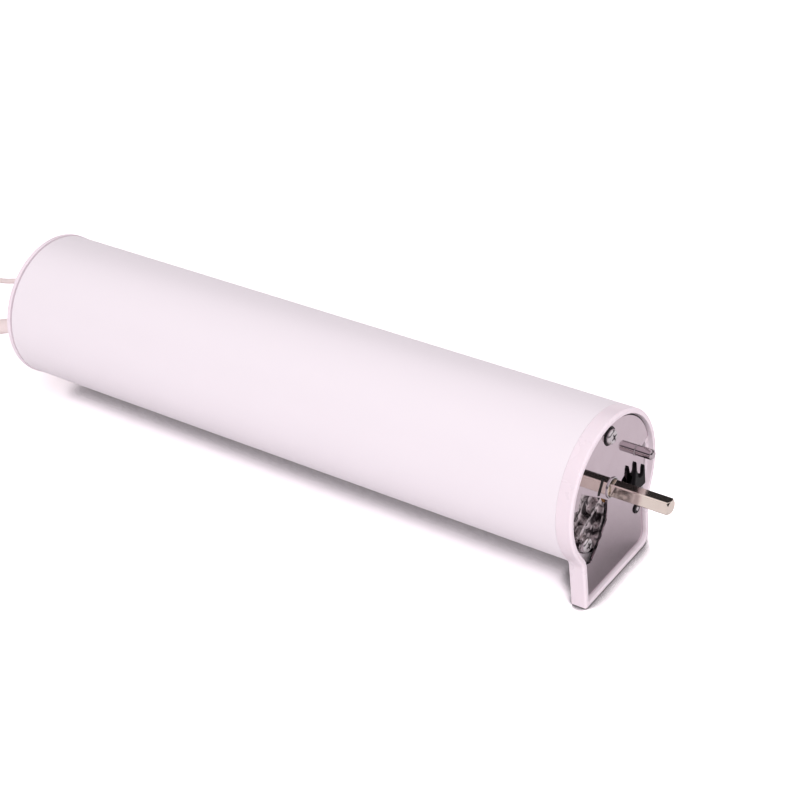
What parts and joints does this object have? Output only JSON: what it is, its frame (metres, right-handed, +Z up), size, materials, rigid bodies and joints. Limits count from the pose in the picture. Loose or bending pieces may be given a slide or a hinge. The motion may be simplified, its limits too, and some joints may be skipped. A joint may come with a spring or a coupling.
{
  "type": "curtain motor",
  "caption": "Tubular curtain motor: white tube, keyhole end with a polished plate, square drive shaft on a planetary gear train, power cord and aerial wire.",
  "frame": {"origin": "on the drive shaft's axis, in the plane of the front rim of the keyhole bezel", "axes": "+X out along the drive shaft, away from the tube; +Z up, away from the bezel's foot; +Y to the right of the upright shaft seen from in front of the plate, towards the locating pin and the catch"},
  "size_m": [0.4847, 0.0889, 0.0703],
  "materials": {
    "powder_coat": "satin",
    "white_moulding": "satin",
    "polished_steel": "polished",
    "die_casting": "rough cast",
    "black_moulding": "matte",
    "plated_steel": "plated",
    "machined_steel": "machined",
    "sintered_bronze": "oiled",
    "pinion_brass": "machined",
    "acetal": "greased",
    "zinc_plated_can": "zinc plated",
    "laminated_steel": "stacked sheet",
    "enamelled_copper": "varnished",
    "ferrite": "sintered",
    "graphite": "pressed",
    "glass_filled_nylon": "matte",
    "circuit_board": "lacquered",
    "component_case": "moulded",
    "transformer_steel": "varnished",
    "shield_can": "tinned",
    "green_moulding": "moulded",
    "black_rubber": "matte",
    "white_rubber": "soft",
    "cord_jacket": "extruded",
    "strap_plastic": "woven look",
    "plug_pin_metal": "plated"
  },
  "bodies": {
    "housing": {"housing_tube": "powder_coat", "front_bezel": "white_moulding", "face_plate": "polished_steel", "gearbox_flange": "die_casting", "black_catch": "black_moulding", "shaft_collar": "plated_steel", "front_bush": "sintered_bronze", "locating_pin": "plated_steel", "plate_screw": "plated_steel", "flange_screws": "plated_steel", "ring_gear": "machined_steel", "motor_plate": "die_casting", "gearbox_bolts": "plated_steel", "motor_can": "zinc_plated_can", "field_magnets": "ferrite", "carbon_brushes": "graphite", "front_motor_bearing": "sintered_bronze", "rear_motor_bearing": "sintered_bronze", "motor_end_bell": "glass_filled_nylon", "sensor_board": "circuit_board", "motor_damper": "black_rubber", "board_tray": "glass_filled_nylon", "control_board": "circuit_board", "board_capacitor": "component_case", "mains_transformer": "transformer_steel", "direction_relays": "component_case", "radio_module": "shield_can", "terminal_block": "green_moulding", "rear_cap": "white_moulding", "rear_cap_screws": "plated_steel", "strain_relief": "white_rubber", "aerial_grommet": "white_rubber", "power_cord": "cord_jacket", "power_cord_coil": "cord_jacket", "plug_lead": "cord_jacket", "coil_strap": "strap_plastic", "plug_body": "white_moulding", "plug_prongs": "plug_pin_metal", "aerial_wire": "cord_jacket"},
    "output": {"output_shaft": "plated_steel", "output_carrier": "machined_steel", "output_carrier_pins": "machined_steel"},
    "middle": {"middle_carrier": "machined_steel", "middle_carrier_pins": "machined_steel"},
    "rotor": {"motor_pinion": "pinion_brass", "motor_shaft": "machined_steel", "rotor_core": "laminated_steel", "rotor_windings": "enamelled_copper", "commutator": "enamelled_copper", "encoder_magnet": "ferrite"},
    "second_planet_1": {"second_planet_1": "machined_steel"},
    "second_planet_2": {"second_planet_2": "machined_steel"},
    "second_planet_3": {"second_planet_3": "machined_steel"},
    "first_planet_1": {"first_planet_1": "acetal"},
    "first_planet_2": {"first_planet_2": "acetal"},
    "first_planet_3": {"first_planet_3": "acetal"}
  },
  "joints": [
    {"name": "output_spin", "type": "hinge", "parent": "housing", "child": "output", "pos_m": [0, 0, 0], "axis": [1, 0, 0], "continuous": true},
    {"name": "middle_spin", "type": "hinge", "parent": "housing", "child": "middle", "pos_m": [-0.0249, 0, 0], "axis": [1, 0, 0], "continuous": true},
    {"name": "rotor_spin", "type": "hinge", "parent": "housing", "child": "rotor", "pos_m": [-0.0686, 0, 0], "axis": [1, 0, 0], "continuous": true},
    {"name": "second_planet_1_spin", "type": "hinge", "parent": "output", "child": "second_planet_1", "pos_m": [-0.0186, 0.01125, 0], "axis": [1, 0, 0], "continuous": true},
    {"name": "second_planet_2_spin", "type": "hinge", "parent": "output", "child": "second_planet_2", "pos_m": [-0.0186, -0.00562, 0.00974], "axis": [1, 0, 0], "continuous": true},
    {"name": "second_planet_3_spin", "type": "hinge", "parent": "output", "child": "second_planet_3", "pos_m": [-0.0186, -0.00562, -0.00974], "axis": [1, 0, 0], "continuous": true},
    {"name": "first_planet_1_spin", "type": "hinge", "parent": "middle", "child": "first_planet_1", "pos_m": [-0.0312, 0.01125, 0], "axis": [1, 0, 0], "continuous": true},
    {"name": "first_planet_2_spin", "type": "hinge", "parent": "middle", "child": "first_planet_2", "pos_m": [-0.0312, -0.00562, 0.00974], "axis": [1, 0, 0], "continuous": true},
    {"name": "first_planet_3_spin", "type": "hinge", "parent": "middle", "child": "first_planet_3", "pos_m": [-0.0312, -0.00562, -0.00974], "axis": [1, 0, 0], "continuous": true}
  ],
  "couplings": [
    {"joint": "output_spin", "follows": "rotor_spin", "ratio": 0.04},
    {"joint": "middle_spin", "follows": "rotor_spin", "ratio": 0.2},
    {"joint": "second_planet_1_spin", "follows": "rotor_spin", "ratio": -0.10667},
    {"joint": "second_planet_2_spin", "follows": "rotor_spin", "ratio": -0.10667},
    {"joint": "second_planet_3_spin", "follows": "rotor_spin", "ratio": -0.10667},
    {"joint": "first_planet_1_spin", "follows": "rotor_spin", "ratio": -0.53333},
    {"joint": "first_planet_2_spin", "follows": "rotor_spin", "ratio": -0.53333},
    {"joint": "first_planet_3_spin", "follows": "rotor_spin", "ratio": -0.53333}
  ]
}
